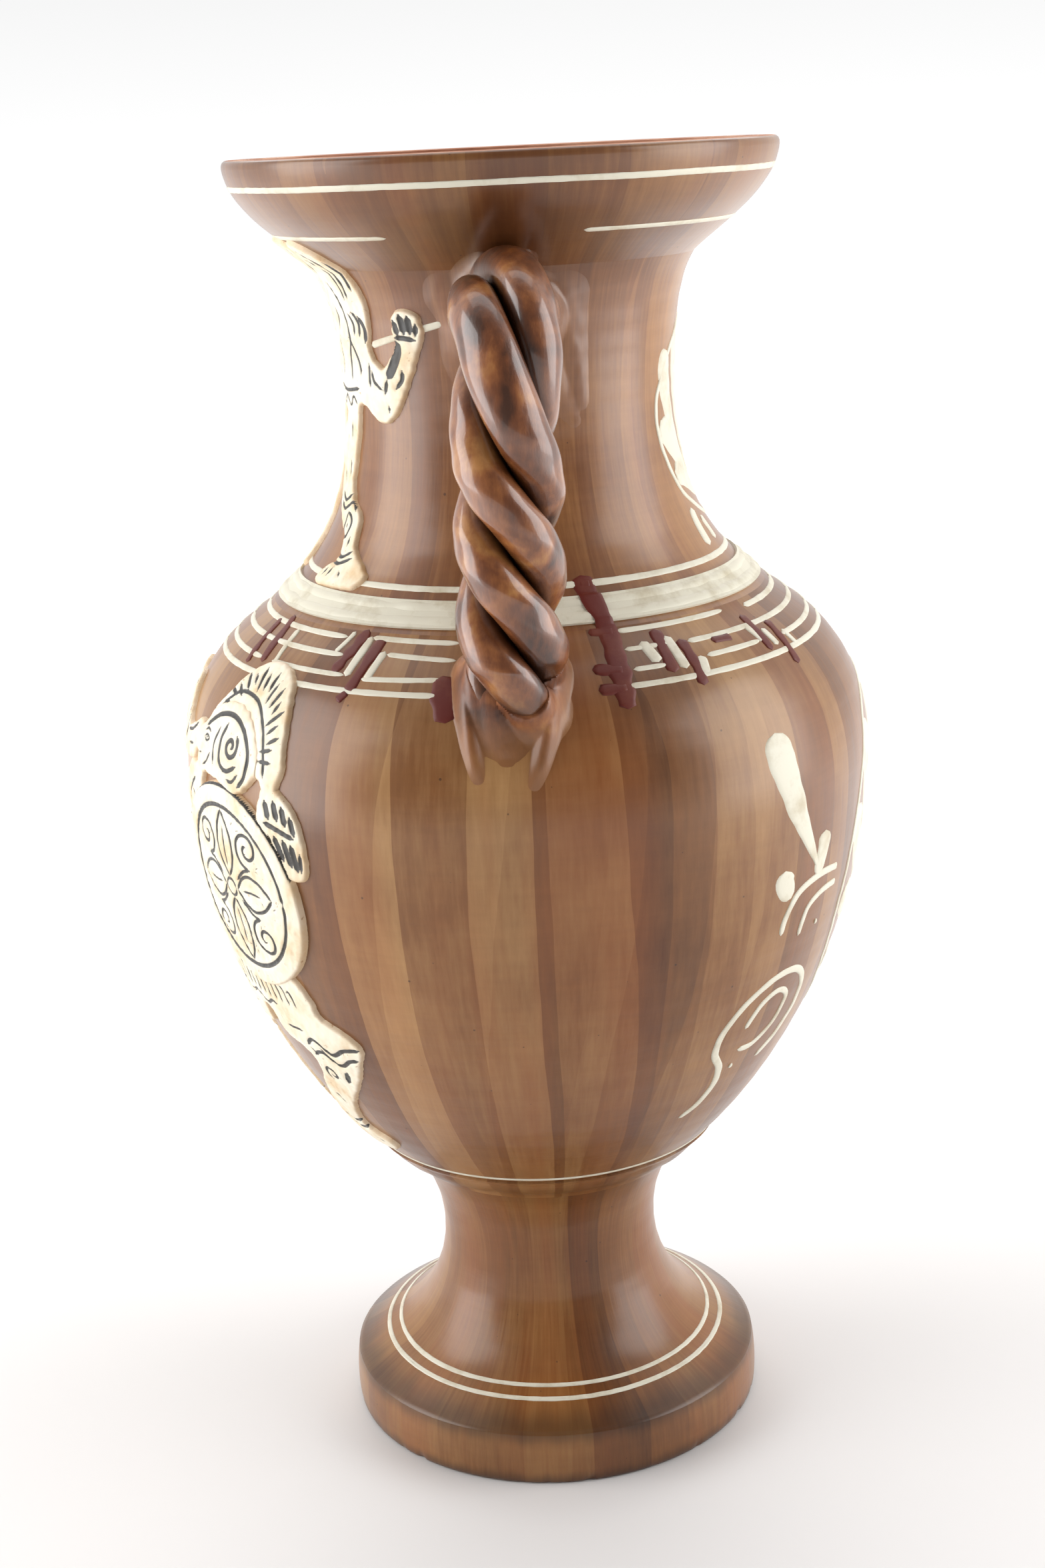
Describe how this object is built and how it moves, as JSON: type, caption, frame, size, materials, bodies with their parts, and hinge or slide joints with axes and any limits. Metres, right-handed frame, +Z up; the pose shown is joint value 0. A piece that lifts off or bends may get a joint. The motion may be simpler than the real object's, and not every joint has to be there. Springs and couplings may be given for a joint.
{
  "type": "amphora",
  "caption": "Footed clay amphora with a flared mouth, twisted rope handles at the sides and applied figures on one face.",
  "frame": {"origin": "centre of the foot ring, on the surface the amphora stands on", "axes": "+Z up along the axis of the vessel; -Y is the face with the applied figures; the handles stand on +X and -X"},
  "size_m": [0.2216, 0.2108, 0.4],
  "materials": {
    "body_clay": "satin lacquer over brushed brown stain",
    "foot_clay": "satin lacquer over brushed brown stain, darker on the bevel",
    "handle_clay": "gloss lacquer over dark brown stain",
    "cream_slip": "satin cream slip paint",
    "relief_slip": "satin cream slip with incised, ink-filled lines"
  },
  "bodies": {
    "root": {"foot": "foot_clay", "stem_collar": "foot_clay", "belly": "body_clay", "shoulder_cordon": "cream_slip", "neck": "body_clay", "mouth": "body_clay", "right_strand_a": "handle_clay", "right_strand_b": "handle_clay", "right_strand_c": "handle_clay", "left_strand_a": "handle_clay", "left_strand_b": "handle_clay", "left_strand_c": "handle_clay", "right_upper_root": "handle_clay", "right_lower_root": "handle_clay", "left_upper_root": "handle_clay", "left_lower_root": "handle_clay", "spearman_head": "relief_slip", "spearman_torso": "relief_slip", "spearman_throwing_arm": "relief_slip", "spearman_fore_arm": "relief_slip", "spearman_rear_leg": "relief_slip", "spearman_front_leg": "relief_slip", "right_warrior_crest": "relief_slip", "right_warrior_head": "relief_slip", "right_warrior_raised_arm": "relief_slip", "right_warrior_chest": "relief_slip", "right_warrior_shield": "relief_slip", "right_warrior_hand": "relief_slip", "right_warrior_skirt": "relief_slip", "right_warrior_rear_leg": "relief_slip", "right_warrior_front_leg": "relief_slip", "left_warrior_crest": "relief_slip", "left_warrior_head": "relief_slip", "left_warrior_raised_arm": "relief_slip", "left_warrior_chest": "relief_slip", "left_warrior_shield": "relief_slip", "left_warrior_hand": "relief_slip", "left_warrior_skirt": "relief_slip", "left_warrior_rear_leg": "relief_slip", "left_warrior_front_leg": "relief_slip"}
  },
  "joints": []
}
